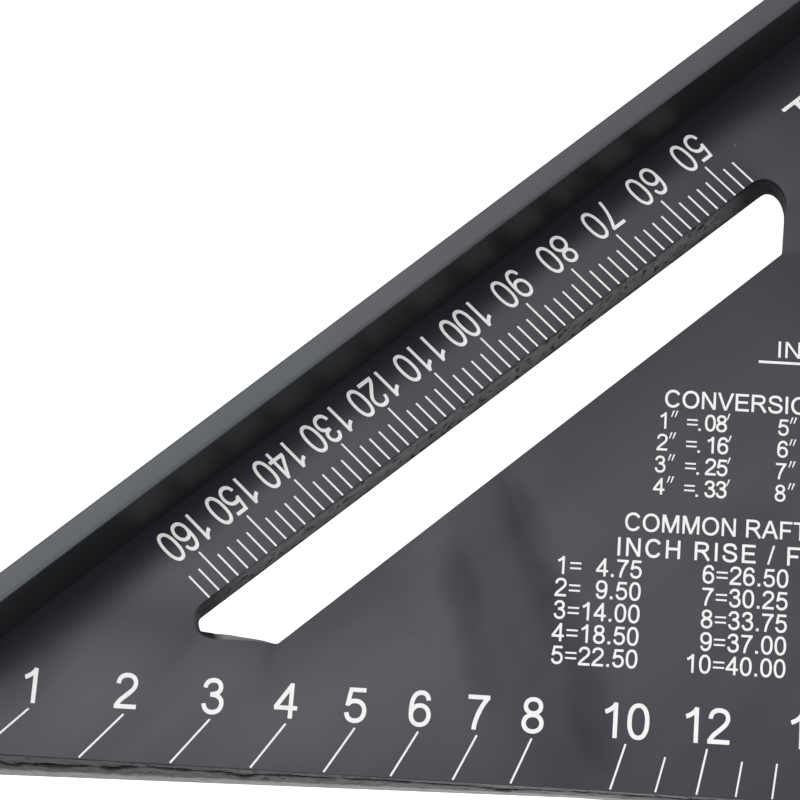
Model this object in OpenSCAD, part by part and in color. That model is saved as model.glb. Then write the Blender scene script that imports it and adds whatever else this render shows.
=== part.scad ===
// Speed square: a right-angled triangular blade with a T-shaped fence along one
// leg, a slanted-end slot near the fence, and white printed scales on both faces.
// The blade lies level, the fence runs along X on its -Y side, and the marked
// front face looks up (+Z). The origin is at the centre of the bottom of the
// bounding box, level with the lower edge of the fence.

/* [Blade] */
// Distance from the scale pivot to the hypotenuse, measured along either leg
leg = 221.1; // [190:0.1:260]
// Thickness of the blade
blade_t = 5.8; // [3:0.1:8]
// Width of the small bevel along the blade's outer edges
edge_bevel = 0.2; // [0.1:0.1:1]
// Length of the blunt flat at the tip of the free leg
tip_flat = 1.6; // [0.5:0.1:4]

/* [Fence] */
// Thickness of the fence bar
fence_w = 4.05; // [3:0.05:8]
// Height of the fence above the blade, and its depth below
fence_h = 12.0; // [6:0.5:20]
// Length of the fence bar
fence_len = 221.9; // [180:0.1:260]
// Clearance between the scale pivot and the fence's inner face
pivot_gap = 0.9; // [0:0.05:2]
// Radius on the long edges of the fence
fence_edge_r = 0.5; // [0.2:0.1:1.5]
// Radius where the blade runs into the fence
root_r = 0.6; // [0.3:0.1:2]

/* [Slot] */
// Distance from the scale pivot line to the slot's edge beside the fence
slot_y0 = 15.2; // [12:0.1:20]
// Distance from the scale pivot line to the slot's far edge
slot_y1 = 28.5; // [22:0.1:36]
// Start of the slot's far edge, along the fence
slot_x0 = 51.7; // [45:0.1:60]
// End of the slot's far edge, along the fence
slot_x1 = 161.2; // [120:0.1:175]
// Corner radius at the slot's two sharp ends
slot_r = 3.6; // [1:0.1:5]

/* [Printed scales] */
// Thickness of the printed ink
ink_t = 0.08; // [0.05:0.01:0.2]
// Width of a mark on the slot scale
slot_mark_w = 0.3; // [0.2:0.02:0.8]
// First mark of the slot scale, in millimetres from the pivot
slot_from = 46; // [40:2:50]
// Last mark of the slot scale
slot_to = 164; // [120:2:168]
// Width of a mark on the hip and valley scale
ray_mark_w = 0.36; // [0.2:0.02:0.8]
// Run that the hip and valley scale is drawn for
hip_run = 16.97; // [16:0.01:18]
// Run that the common rafter scale is drawn for
common_run = 12; // [10:0.5:14]
// Last whole ten on the free leg's rule
rule_to = 200; // [100:10:200]

/* [Hidden] */

fence_y1 = -pivot_gap;                 // inner face of the fence
fence_y0 = fence_y1 - fence_w;         // outer face of the fence
total_h = blade_t + 2 * fence_h;
tip_y = leg - tip_flat;
len_x = max(fence_len, leg - fence_y1);
// Moves the pivot-based drawing into the part's frame
ox = -len_x / 2;
oy = -(fence_y0 + tip_y) / 2;
oz = fence_h;                          // underside of the blade

module place() { translate([ox, oy, oz]) children(); }
// Children drawn flat and extruded as ink on the front face
module on_front() { place() translate([0, 0, blade_t]) linear_extrude(ink_t) children(); }
// Children drawn as seen from the back, x running to the left of the pivot
module on_back() { place() translate([0, 0, -ink_t]) linear_extrude(ink_t) mirror([1, 0, 0]) children(); }

// Blade outline: right angle at the pivot, blunt tip on the free leg
module blade_outline() {
  polygon([[0, fence_y1], [leg - fence_y1, fence_y1], [tip_flat, tip_y], [0, tip_y]]);
}

// Four-sided slot with 45 degree ends; the two sharp ends are turned with radius slot_r
module slot_shape() {
  s = slot_y1 - slot_y0;
  k = slot_r * (1 + sqrt(2));          // from the sharp corner to where the radius starts
  a = slot_x0 - s + k; b = slot_x1 + s - k;
  arc_steps = 12;
  left = [for (i = [0 : arc_steps]) let (t = -90 - 135 * i / arc_steps)
            [a + slot_r * cos(t), slot_y0 + slot_r + slot_r * sin(t)]];
  right = [for (i = [0 : arc_steps]) let (t = 45 - 135 * i / arc_steps)
            [b + slot_r * cos(t), slot_y0 + slot_r + slot_r * sin(t)]];
  polygon(concat(left, [[slot_x0, slot_y1], [slot_x1, slot_y1]], right));
}

// Square bar, d across its half diagonal, whose axis runs along an edge from p to q
// at height z; cutting it away leaves a 45 degree bevel
module edge_cut(p, q, z, d) {
  a = atan2(q[1] - p[1], q[0] - p[0]);
  l = norm([q[0] - p[0], q[1] - p[1]]);
  translate([p[0], p[1], z]) rotate(a)
    translate([-2, 0, 0]) rotate([90, 0, 90]) linear_extrude(l + 4)
      polygon([[0, -d], [d, 0], [0, d], [-d, 0]]);
}

module blade() {
  x1 = leg - fence_y1;
  color([0.25, 0.25, 0.27]) place() difference() {
    linear_extrude(blade_t) blade_outline();
    translate([0, 0, -1]) linear_extrude(blade_t + 2) slot_shape();
    edge_cut([x1, fence_y1], [tip_flat, tip_y], blade_t, edge_bevel);
    edge_cut([x1, fence_y1], [tip_flat, tip_y], 0, edge_bevel);
    edge_cut([tip_flat, tip_y], [0, tip_y], blade_t, edge_bevel);
    edge_cut([tip_flat, tip_y], [0, tip_y], 0, edge_bevel);
    edge_cut([0, tip_y], [0, fence_y1], blade_t, edge_bevel);
    edge_cut([0, tip_y], [0, fence_y1], 0, edge_bevel);
  }
}

// Fence section in the Y-Z plane, z = 0 at the blade's underside
module fence_section() {
  r = fence_edge_r;
  z0 = -fence_h; z1 = blade_t + fence_h;
  // small fillets in the two corners above and below the blade
  for (m = [0, 1]) translate([fence_y1, m * blade_t]) mirror([0, 1 - m]) difference() {
    square(root_r);
    translate([root_r, root_r]) circle(r = root_r, $fn = 48);
  }
  difference() {
    translate([fence_y0, z0]) square([fence_w, z1 - z0]);
    for (c = [[fence_y0, z0, 1, 1], [fence_y1, z0, -1, 1], [fence_y0, z1, 1, -1], [fence_y1, z1, -1, -1]])
      difference() {
        translate([c[0] - (c[2] > 0 ? 1 : r), c[1] - (c[3] > 0 ? 1 : r)]) square([r + 1, r + 1]);
        translate([c[0] + c[2] * r, c[1] + c[3] * r]) circle(r = r, $fn = 48);
      }
  }
}

module fence_rail() {
  color([0.22, 0.22, 0.24]) place()
    rotate([90, 0, 90]) linear_extrude(fence_len) fence_section();
}

// Seven-bar figure of height h and width w with bars s wide; lower left at the origin.
// 0 to 9 are digits, 10 is an equals sign, 11 a point, 12 an inch mark, 13 a foot mark
module figure(n, h, w, s) {
  if (n == 10) for (y = [h * 0.3, h * 0.58]) translate([0, y]) square([w, s]);
  if (n == 11) translate([w / 2 - s / 2, 0]) square([s, s]);
  if (n == 12) for (x = [w * 0.2, w * 0.2 + 2 * s]) translate([x, h * 0.68]) square([s, h * 0.32]);
  if (n == 13) translate([w * 0.2, h * 0.68]) square([s, h * 0.32]);
  if (n < 10) digit(n, h, w, s);
}

module digit(n, h, w, s) {
  on = [[1,1,1,0,1,1,1], [0,0,1,0,0,1,0], [1,0,1,1,1,0,1], [1,0,1,1,0,1,1], [0,1,1,1,0,1,0],
        [1,1,0,1,0,1,1], [1,1,0,1,1,1,1], [1,0,1,0,0,1,0], [1,1,1,1,1,1,1], [1,1,1,1,0,1,1]][n];
  if (on[0]) translate([0, h - s]) square([w, s]);
  if (on[1]) translate([0, h / 2]) square([s, h / 2]);
  if (on[2]) translate([w - s, h / 2]) square([s, h / 2]);
  if (on[3]) translate([0, h / 2 - s / 2]) square([w, s]);
  if (on[4]) square([s, h / 2]);
  if (on[5]) translate([w - s, 0]) square([s, h / 2]);
  if (on[6]) square([w, s]);
}

// Whole number centred on the origin
module number(n, h, w, s, gap) {
  d = n >= 100 ? [floor(n / 100), floor(n / 10) % 10, n % 10] : n >= 10 ? [floor(n / 10), n % 10] : [n];
  total = len(d) * w + (len(d) - 1) * gap;
  for (i = [0 : len(d) - 1]) translate([-total / 2 + i * (w + gap), -h / 2]) figure(d[i], h, w, s);
}

// Row of figures from the left, cells pitch apart; -1 leaves a cell empty
module figure_row(codes, h, w, s, pitch) {
  for (i = [0 : len(codes) - 1])
    if (codes[i] >= 0) translate([i * pitch, 0]) figure(codes[i], h, w, s);
}

// Children drawn along the hypotenuse, reading from the fence towards the free leg:
// u runs along it and v from it towards the pivot, both measured from the pivot
module along_hypotenuse(u, v) {
  translate([(-u - v) / sqrt(2), (u - v) / sqrt(2)]) rotate(135) children();
}

module slot_scale_marks() {
  color("white") on_front()
    for (x = [slot_from : 2 : slot_to]) {
      l = x % 10 == 0 ? 7.3 : 5.0;
      translate([x - slot_mark_w / 2, slot_y0 - 0.05 - l]) square([slot_mark_w, l]);
    }
}

module slot_scale_numerals() {
  color("white") on_front()
    for (x = [ceil(slot_from / 10) * 10 : 10 : slot_to])
      translate([x, 4.2]) number(x, 6, 2.5, 0.5, 0.4);
}

// One mark on a ray from the pivot, from r-sum s0 to s1 (x + y measured to the hypotenuse)
module ray_mark(ang, s0, s1, w) {
  k = cos(ang) + sin(ang);
  rotate(ang) translate([s0 / k, -w / 2]) square([(s1 - s0) / k, w]);
}

hip_long = [1, 2, 3, 4, 5, 6, 7, 8, 10, 12, 15, 20, 25, 30];
hip_short = [11, 13, 14, 16, 17, 18, 19];

module hip_valley_marks() {
  color("white") on_front() {
    for (n = hip_long) ray_mark(atan(n / hip_run), 209.4, leg - 0.5, ray_mark_w);
    for (n = hip_short) ray_mark(atan(n / hip_run), 212, leg - 0.5, ray_mark_w * 0.9);
  }
}

module hip_valley_numerals() {
  color("white") on_front()
    for (n = hip_long) {
      t = atan(n / hip_run); k = cos(t) + sin(t);
      // each number stands square to the hypotenuse over its mark's inner end
      u = 209.4 / k * (sin(t) - cos(t)) / sqrt(2);
      along_hypotenuse(u, -144.2) number(n, 6.1, 3.4, 0.75, 0.5);
    }
}

// Inches 1 to 12 in decimal feet, in three columns of four
module conversion_table() {
  color("white") on_front()
    for (n = [1 : 12]) {
      c = floor((n - 1) / 4); r = (n - 1) % 4;
      f = floor(100 * n / 12);
      along_hypotenuse(-37.3 + 19.4 * c, -91.2 - 4.05 * r)
        figure_row([n > 9 ? 1 : -1, n > 9 ? n - 10 : n, 12, 10, f > 99 ? 1 : -1, 11,
                    floor(f / 10) % 10, f % 10, 13], 3, 1.4, 0.36, 1.75);
    }
}

// Rise in inches per foot against the slope in degrees, in four columns of five
rise_angle = [4.75, 9.5, 14, 18.5, 22.5, 26.5, 30.25, 33.75, 37, 40,
              42.5, 45, 47.25, 49.5, 51.25, 53.25, 54.75, 56.25, 57.75, 59];

module rise_angle_table() {
  color("white") on_front()
    for (n = [1 : 20]) {
      c = floor((n - 1) / 5); r = (n - 1) % 5;
      f = 100 * rise_angle[n - 1];
      along_hypotenuse(-52.75 + 23.3 * c, -118.8 - 4 * r)
        figure_row([n > 9 ? floor(n / 10) : -1, n % 10, 10, f >= 1000 ? floor(f / 1000) : -1, floor(f / 100) % 10, 11,
                    floor(f / 10) % 10, f % 10], 3.4, 1.5, 0.4, 1.98);
    }
}

// Rule under the tables' heading
module heading_rule() {
  color("white") on_front() along_hypotenuse(-19.6, -77.95) square([22.9, 0.38]);
}

module leg_rule_marks() {
  color("white") on_front()
    for (y = [2 : 1 : rule_to]) {
      l = y % 10 == 0 ? 7 : y % 5 == 0 ? 5 : 3.4;
      translate([0.6, fence_y1 + y - 0.13]) square([l, 0.26]);
    }
}

module leg_rule_numerals() {
  color("white") on_front()
    for (y = [10 : 10 : rule_to])
      translate([10.6, fence_y1 + y]) rotate(-90) number(y, 3.4, 1.9, 0.4, 0.6);
}

// Back face: drawn in the mirrored view, so x runs from the pivot to the left
common_long = [1, 2, 3, 4, 5, 6, 7, 8, 10, 12, 14, 18, 24, 30];
common_short = [9, 11, 13, 15, 16, 17];

module back_ray(ang, s0, s1, w) {
  mirror([1, 0]) ray_mark(ang, s0, s1, w);
}

module common_rafter_marks() {
  color("white") on_back() {
    for (n = common_long) back_ray(atan(n / common_run), 198.5, 203, 0.4);
    for (n = common_short) back_ray(atan(n / common_run), 200, 203, 0.4);
  }
}

module common_rafter_numerals() {
  color("white") on_back()
    for (n = common_long) {
      t = atan(n / common_run); k = cos(t) + sin(t);
      mirror([1, 0]) rotate(t) translate([194.4 / k, 0]) rotate(135 - t) mirror([1, 0]) number(n, 3.6, 2, 0.42, 0.6);
    }
}

module degree_marks() {
  color("white") on_back()
    for (a = [2 : 1 : 88])
      back_ray(a, a % 10 == 0 ? 211.5 : a % 5 == 0 ? 213.5 : 215.5, leg - 0.8, 0.36);
}

module degree_numerals() {
  color("white") on_back()
    for (a = [10 : 10 : 80]) {
      k = cos(a) + sin(a);
      mirror([1, 0]) rotate(a) translate([207.3 / k, 0]) rotate(135 - a) mirror([1, 0]) number(a, 3.6, 2, 0.42, 0.6);
    }
}

blade();
fence_rail();
slot_scale_marks();
slot_scale_numerals();
hip_valley_marks();
hip_valley_numerals();
conversion_table();
rise_angle_table();
heading_rule();
leg_rule_marks();
leg_rule_numerals();
common_rafter_marks();
common_rafter_numerals();
degree_marks();
degree_numerals();
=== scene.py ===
import bpy, bmesh, math
import numpy as np
from mathutils import Vector, Matrix, noise


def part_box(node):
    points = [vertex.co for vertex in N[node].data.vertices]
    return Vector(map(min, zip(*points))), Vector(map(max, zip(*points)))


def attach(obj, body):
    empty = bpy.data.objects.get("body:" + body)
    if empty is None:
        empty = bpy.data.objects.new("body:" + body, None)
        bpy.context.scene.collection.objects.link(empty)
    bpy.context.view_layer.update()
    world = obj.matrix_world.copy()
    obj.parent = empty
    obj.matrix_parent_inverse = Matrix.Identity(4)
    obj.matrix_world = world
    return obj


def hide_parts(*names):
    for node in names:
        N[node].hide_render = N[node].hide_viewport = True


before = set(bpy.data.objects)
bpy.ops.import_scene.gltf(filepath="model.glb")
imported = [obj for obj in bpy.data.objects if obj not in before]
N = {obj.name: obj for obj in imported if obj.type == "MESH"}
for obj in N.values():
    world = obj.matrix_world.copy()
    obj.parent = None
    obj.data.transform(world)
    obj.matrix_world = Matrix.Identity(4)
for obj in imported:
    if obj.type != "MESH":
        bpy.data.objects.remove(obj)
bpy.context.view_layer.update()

# ---------------------------------------------------------------- frame
# The drawing is in millimetres from the scale pivot: x along the fence, y away from it,
# z = 0 on the blade's front face. row() turns it into the row frame in metres.
b_lo, b_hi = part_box("blade")
f_lo, f_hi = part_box("fence_rail")
OX = b_lo[0] * 1000.0                      # x of the pivot
GAP = 0.9                                  # the blade starts 0.9 mm behind the pivot line
OY = b_lo[1] * 1000.0 + GAP
OZ = b_hi[2] * 1000.0                      # blade's front face
T = (b_hi[2] - b_lo[2]) * 1000.0           # blade thickness
FY1 = -GAP                                 # fence's inner face
FY0 = f_lo[1] * 1000.0 - OY                # fence's outer face
FL = (f_hi[0] - f_lo[0]) * 1000.0          # fence length
FH = f_hi[2] * 1000.0 - OZ                 # fence height above the blade
LEG = 221.1
S2 = math.sqrt(2.0)


def row(x, y, z=0.0):
    return Vector(((x + OX) / 1000.0, (y + OY) / 1000.0, (z + OZ) / 1000.0))


# ---------------------------------------------------------------- camera
R = ((-0.7526017, 0.6584760, -0.0001328), (0.5722771, 0.6539813, -0.4947802), (-0.3257140, -0.3724484, -0.8690181))
cam_d = bpy.data.cameras.new("camera")
cam = bpy.data.objects.new("camera", cam_d)
bpy.context.scene.collection.objects.link(cam)
bpy.context.scene.camera = cam
loc = row(387.007, 316.208, 718.969)
m = Matrix(((R[0][0], -R[1][0], -R[2][0], loc.x),
            (R[0][1], -R[1][1], -R[2][1], loc.y),
            (R[0][2], -R[1][2], -R[2][2], loc.z),
            (0, 0, 0, 1)))
cam.matrix_world = m
cam_d.sensor_width = 36.0
cam_d.lens = 5106.81 * 36.0 / 800.0
cam_d.shift_x, cam_d.shift_y = -0.000625, 0.000625
cam_d.clip_start, cam_d.clip_end = 0.05, 20.0
cam_d.dof.use_dof = False


# ---------------------------------------------------------------- node helpers
def new_mat(name):
    mt = bpy.data.materials.new(name)
    mt.use_nodes = True
    nt = mt.node_tree
    nt.nodes.clear()
    out = nt.nodes.new("ShaderNodeOutputMaterial")
    return mt, nt, out


def add(nt, kind, **kw):
    n = nt.nodes.new(kind)
    for k, v in kw.items():
        setattr(n, k, v)
    return n


def obj_coords(nt):
    """Object coordinates in millimetres."""
    tc = add(nt, "ShaderNodeTexCoord")
    mp = add(nt, "ShaderNodeMapping")
    mp.inputs["Scale"].default_value = (1000, 1000, 1000)
    nt.links.new(tc.outputs["Object"], mp.inputs["Vector"])
    return mp.outputs["Vector"]


def tex_noise(nt, vec, scale, detail=3.0, rough=0.5, stretch=None, rot=None):
    if stretch or rot:
        mp = add(nt, "ShaderNodeMapping")
        if stretch:
            mp.inputs["Scale"].default_value = stretch
        if rot:
            mp.inputs["Rotation"].default_value = rot
        nt.links.new(vec, mp.inputs["Vector"])
        vec = mp.outputs["Vector"]
    n = add(nt, "ShaderNodeTexNoise")
    n.inputs["Scale"].default_value = scale
    n.inputs["Detail"].default_value = detail
    n.inputs["Roughness"].default_value = rough
    nt.links.new(vec, n.inputs["Vector"])
    return n.outputs["Fac"]


def ramp(nt, fac, stops):
    r = add(nt, "ShaderNodeValToRGB")
    el = r.color_ramp.elements
    while len(el) > 1:
        el.remove(el[-1])
    for i, (p, c) in enumerate(stops):
        e = el[0] if i == 0 else el.new(p)
        e.position = p
        e.color = (c, c, c, 1) if isinstance(c, (int, float)) else (*c, 1)
    nt.links.new(fac, r.inputs["Fac"])
    return r.outputs["Color"]


def maprange(nt, val, a, b, c, d, clamp=True):
    n = add(nt, "ShaderNodeMapRange", clamp=clamp)
    for i, v in enumerate((a, b, c, d)):
        n.inputs[i + 1].default_value = v
    nt.links.new(val, n.inputs[0])
    return n.outputs[0]


def math_node(nt, op, a, b=None):
    n = add(nt, "ShaderNodeMath", operation=op)
    for i, v in enumerate((a, b)):
        if v is None:
            continue
        if isinstance(v, (int, float)):
            n.inputs[i].default_value = v
        else:
            nt.links.new(v, n.inputs[i])
    return n.outputs[0]


def mix_col(nt, fac, a, b, blend="MIX"):
    n = add(nt, "ShaderNodeMix", data_type="RGBA", blend_type=blend)
    for sock, v in ((n.inputs["Factor"], fac), (n.inputs[6], a), (n.inputs[7], b)):
        if isinstance(v, (int, float)):
            sock.default_value = v
        elif isinstance(v, tuple):
            sock.default_value = (*v, 1)
        else:
            nt.links.new(v, sock)
    return n.outputs[2]


def bump(nt, height, strength, distance, normal=None):
    b = add(nt, "ShaderNodeBump")
    b.inputs["Strength"].default_value = strength
    b.inputs["Distance"].default_value = distance
    nt.links.new(height, b.inputs["Height"])
    if normal is not None:
        nt.links.new(normal, b.inputs["Normal"])
    return b.outputs["Normal"]


# ---------------------------------------------------------------- materials
def dist_band(nt, vec, p, q, width, wobble):
    """1 on the segment p-q of the drawing, falling to 0 at width millimetres, with a wavy edge."""
    a, b = row(*p) * 1000.0, row(*q) * 1000.0
    L = math.hypot(b.x - a.x, b.y - a.y)
    mp = add(nt, "ShaderNodeMapping", vector_type="TEXTURE")
    mp.inputs["Location"].default_value = ((a.x + b.x) / 2, (a.y + b.y) / 2, 0)
    mp.inputs["Rotation"].default_value = (0, 0, math.atan2(b.y - a.y, b.x - a.x))
    mp.inputs["Scale"].default_value = (L / 2 + width, width, 1000)
    nt.links.new(vec, mp.inputs["Vector"])
    nz = add(nt, "ShaderNodeTexNoise")
    nz.inputs["Scale"].default_value = 0.11
    nz.inputs["Detail"].default_value = 3
    nt.links.new(vec, nz.inputs["Vector"])
    off = add(nt, "ShaderNodeVectorMath", operation="MULTIPLY_ADD")
    nt.links.new(nz.outputs["Color"], off.inputs[0])
    off.inputs[1].default_value = (wobble * 0.3, wobble, 0)
    nt.links.new(mp.outputs["Vector"], off.inputs[2])
    sub = add(nt, "ShaderNodeVectorMath", operation="SUBTRACT")
    nt.links.new(off.outputs[0], sub.inputs[0])
    sub.inputs[1].default_value = (wobble * 0.15, wobble * 0.5, 0)
    ln = add(nt, "ShaderNodeVectorMath", operation="LENGTH")
    nt.links.new(sub.outputs[0], ln.inputs[0])
    n = add(nt, "ShaderNodeMapRange", interpolation_type="SMOOTHSTEP")
    for i, v in enumerate((1.0, 0.25, 0.0, 1.0)):
        n.inputs[i + 1].default_value = v
    nt.links.new(ln.outputs["Value"], n.inputs[0])
    return n.outputs[0]


def coating(name, base=(0.0150, 0.0132, 0.0190), rough=0.37, marks=(), spec=0.5, painted_sheen_x=None, cross=None, fleck=None, painted_edge_shade=False):
    """Satin black coating: fine spray grain, soft clouding, darker marks (wiped smudges; a caller's mark can also be
    painted shade), a faint wipe pattern, and painted sheen: gloss scaled by position in place of the light's fall-off.
    """
    mt, nt, out = new_mat(name)
    p = add(nt, "ShaderNodeBsdfPrincipled")
    nt.links.new(p.outputs[0], out.inputs[0])
    v = obj_coords(nt)
    cloud = tex_noise(nt, v, 0.016, 3, 0.5)
    tint = tex_noise(nt, v, 0.011, 2, 0.5)
    fine = tex_noise(nt, v, 1.9, 4, 0.6)
    grain = tex_noise(nt, v, 5.5, 2, 0.5)
    streak = tex_noise(nt, v, 0.12, 3, 0.55, stretch=(0.22, 1.0, 1.0), rot=(0, 0, math.radians(38)))
    speck = tex_noise(nt, v, 0.8, 2, 0.5)
    col = mix_col(nt, maprange(nt, cloud, 0.35, 0.65, 0, 1), tuple(x * 0.87 for x in base), tuple(x * 1.14 for x in base))
    col = mix_col(nt, maprange(nt, tint, 0.42, 0.62, 0, 0.8), col, (base[0] * 0.72, base[1] * 1.08, base[2] * 1.12))
    col = mix_col(nt, maprange(nt, fine, 0.35, 0.7, 0, 0.35), col, tuple(x * 1.5 for x in base))
    r = maprange(nt, cloud, 0.3, 0.7, rough - 0.025, rough + 0.03)
    r = math_node(nt, "ADD", r, maprange(nt, streak, 0.45, 0.75, 0.0, 0.04))
    r = math_node(nt, "ADD", r, maprange(nt, fine, 0.3, 0.7, -0.015, 0.015))
    mean = spec                                 # the socket's own value holds the mean level
    for stops in (painted_sheen_x, cross):
        mean *= sum(lv for q, lv in stops) / len(stops) if stops else 1.0
    p.inputs["Specular IOR Level"].default_value = mean
    spec = maprange(nt, streak, 0.35, 0.7, spec * 1.03, spec * 0.97)
    xyz = add(nt, "ShaderNodeSeparateXYZ")
    nt.links.new(v, xyz.inputs[0])
    # painted sheen: the gloss is scaled slowly along x (painted_sheen_x) and away from the fence (cross) in place of
    # the studio light's fall-off: stops of (mm, level)
    for axis, o_, stops in (("X", OX, painted_sheen_x), ("Y", OY, cross)):
        if stops:
            a_, b_ = stops[0][0], stops[-1][0]
            g_ = ramp(nt, maprange(nt, xyz.outputs[axis], a_ + o_, b_ + o_, 0, 1), [((q - a_) / (b_ - a_), lv / 1.25) for q, lv in stops])
            spec = math_node(nt, "MULTIPLY", spec, math_node(nt, "MULTIPLY", g_, 1.25))
    for pa, pb, wd, wob, amt in marks:
        m_ = dist_band(nt, v, pa, pb, wd, wob)
        f_ = math_node(nt, "MULTIPLY", m_, amt)
        spec = math_node(nt, "SUBTRACT", spec, math_node(nt, "MULTIPLY", f_, 0.5))
        col = mix_col(nt, f_, col, tuple(x * 0.7 for x in base))
    # dust specks
    dust = maprange(nt, speck, 0.785, 0.80, 0, 0.5)
    col = mix_col(nt, dust, col, (0.10, 0.10, 0.10))
    for fx, fy, fr_ in fleck or ():             # single light flecks in the coating
        d_ = add(nt, "ShaderNodeVectorMath", operation="DISTANCE")
        nt.links.new(v, d_.inputs[0])
        d_.inputs[1].default_value = row(fx, fy) * 1000.0
        col = mix_col(nt, maprange(nt, d_.outputs["Value"], fr_, fr_ * 0.4, 0, 0.7), col, (0.15, 0.15, 0.15))
    if painted_edge_shade:                                    # rubbed places, with painted shade: near black and less glossy where the painted_shade attribute is set, toward the slot's corner
        at = add(nt, "ShaderNodeAttribute", attribute_name="painted_shade")
        col = mix_col(nt, at.outputs["Fac"], col, (0.008, 0.008, 0.009))
        spec = math_node(nt, "MULTIPLY", spec, maprange(nt, at.outputs["Fac"], 0, 1, 1.0, 0.25))
    nt.links.new(col, p.inputs["Base Color"])
    nt.links.new(r, p.inputs["Roughness"])
    nt.links.new(spec, p.inputs["Specular IOR Level"])
    p.inputs["IOR"].default_value = 1.5
    n1 = bump(nt, grain, 0.10, 0.00002)
    n2 = bump(nt, tex_noise(nt, v, 0.06, 2, 0.5), 0.2, 0.00010, n1)
    nt.links.new(n2, p.inputs["Normal"])
    return mt


def worked_edge(name, base, lower_band_col, z_lo, z_hi, rough=0.5, spec=0.5, stray=0.6):
    """Sawn or milled edge: tool marks, pits and torn grooves painted near black as shade, and a lower band in
    lower_band_col (painted bounce light on the sawn edge, darker towards the bottom on the slot walls).
    """
    mt, nt, out = new_mat(name)
    p = add(nt, "ShaderNodeBsdfPrincipled")
    nt.links.new(p.outputs[0], out.inputs[0])
    v = obj_coords(nt)
    at = add(nt, "ShaderNodeAttribute", attribute_name="painted_shade")
    xyz = add(nt, "ShaderNodeSeparateXYZ")
    nt.links.new(v, xyz.inputs[0])
    lines = tex_noise(nt, v, 0.9, 4, 0.6, stretch=(0.3, 0.3, 2.6))
    blot = tex_noise(nt, v, 0.42, 4, 0.62)
    pit = tex_noise(nt, v, 1.15, 4, 0.62, stretch=(0.6, 0.6, 1.0))
    pm = maprange(nt, pit, 0.57, 0.66, 0, 1)
    col = mix_col(nt, maprange(nt, blot, 0.34, 0.66, 0, 1), tuple(x * 0.55 for x in base), tuple(x * 1.4 for x in base))
    # lower band: the colour turns to lower_band_col below z_hi; on the sawn edge this is painted bounce light from the
    # floor, on the slot walls it is darker towards the bottom
    zz = math_node(nt, "ADD", xyz.outputs["Z"], maprange(nt, blot, 0.3, 0.7, -stray, stray))
    col = mix_col(nt, maprange(nt, zz, z_hi, z_lo, 0, 1), col, lower_band_col)
    col = mix_col(nt, maprange(nt, lines, 0.48, 0.72, 0, 0.45), col, tuple(min(1.0, x * 1.5 + 0.01) for x in base))
    pm = math_node(nt, "MULTIPLY", pm, maprange(nt, zz, z_lo, z_hi + 0.8, 0.12, 1.0))
    # painted shade: pits and painted_shade places turn near black
    dark = math_node(nt, "MAXIMUM", math_node(nt, "MULTIPLY", pm, 0.75), at.outputs["Fac"])
    col = mix_col(nt, dark, col, (0.004, 0.004, 0.005))
    nt.links.new(col, p.inputs["Base Color"])
    nt.links.new(maprange(nt, blot, 0.3, 0.7, rough - 0.08, rough + 0.12), p.inputs["Roughness"])
    p.inputs["Specular IOR Level"].default_value = spec
    sp = maprange(nt, dark, 0.0, 1.0, spec, 0.02)
    nt.links.new(math_node(nt, "MULTIPLY", sp, maprange(nt, blot, 0.3, 0.7, 0.75, 1.2)), p.inputs["Specular IOR Level"])
    p.inputs["IOR"].default_value = 1.5
    h = math_node(nt, "SUBTRACT", math_node(nt, "MULTIPLY", lines, 0.7), math_node(nt, "MULTIPLY", pm, 0.8))
    h = math_node(nt, "ADD", h, math_node(nt, "MULTIPLY", blot, 0.8))
    nt.links.new(bump(nt, h, 0.75, 0.00014), p.inputs["Normal"])
    return mt


def print_ink(name, base=(0.60, 0.585, 0.58)):
    """Screen-printed white: matt, slightly uneven film with a fine mesh grain."""
    mt, nt, out = new_mat(name)
    p = add(nt, "ShaderNodeBsdfPrincipled")
    nt.links.new(p.outputs[0], out.inputs[0])
    v = obj_coords(nt)
    film = tex_noise(nt, v, 0.8, 4, 0.6)
    mesh = tex_noise(nt, v, 7.0, 2, 0.5)
    col = mix_col(nt, maprange(nt, film, 0.3, 0.7, 0, 1), tuple(x * 0.93 for x in base), tuple(min(1, x * 1.06) for x in base))
    col = mix_col(nt, maprange(nt, mesh, 0.55, 0.8, 0, 0.35), col, tuple(x * 0.8 for x in base))
    nt.links.new(col, p.inputs["Base Color"])
    nt.links.new(maprange(nt, film, 0.3, 0.7, 0.5, 0.64), p.inputs["Roughness"])
    p.inputs["IOR"].default_value = 1.46
    nt.links.new(bump(nt, mesh, 0.2, 0.00002), p.inputs["Normal"])
    return mt


M_BLADE = coating("blade_coating", marks=(
    ((129, 34.5), (136, 45.5), 4.6, 0.7, 0.27), ((136, 45.5), (142.5, 58), 4.4, 0.8, 0.22),
    ((114.5, 29.5), (121.2, 46), 5.2, 0.8, 0.30), ((121.2, 46), (128, 62), 5.6, 0.8, 0.28), ((128, 62), (136, 78), 5.6, 0.8, 0.24),
    ((122, 31), (133, 57), 9.5, 0.8, 0.22), ((133, 57), (142, 78), 9.5, 0.8, 0.17),
    # painted shade: the mark from (187, 6.5) to (203, 9.5) darkens the blade beside the fence, where the fence's shade
    # falls
    ((98, 60), (86, 70), 11.0, 0.8, 0.07), ((187, 6.5), (203, 9.5), 4.5, 0.8, 0.17)),
    # painted sheen: the painted_sheen_x and cross stops brighten and dim the blade's gloss in place of the light's
    # fall-off
    painted_sheen_x=((30, 0.56), (38, 0.62), (65, 0.87), (110, 0.92), (140, 1.01), (186, 1.07)),
    cross=((8, 1.0), (35, 1.0), (60, 0.90), (85, 0.79), (120, 0.77), (220, 0.77)), fleck=((43.3, 8.0, 0.24),))
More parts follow.
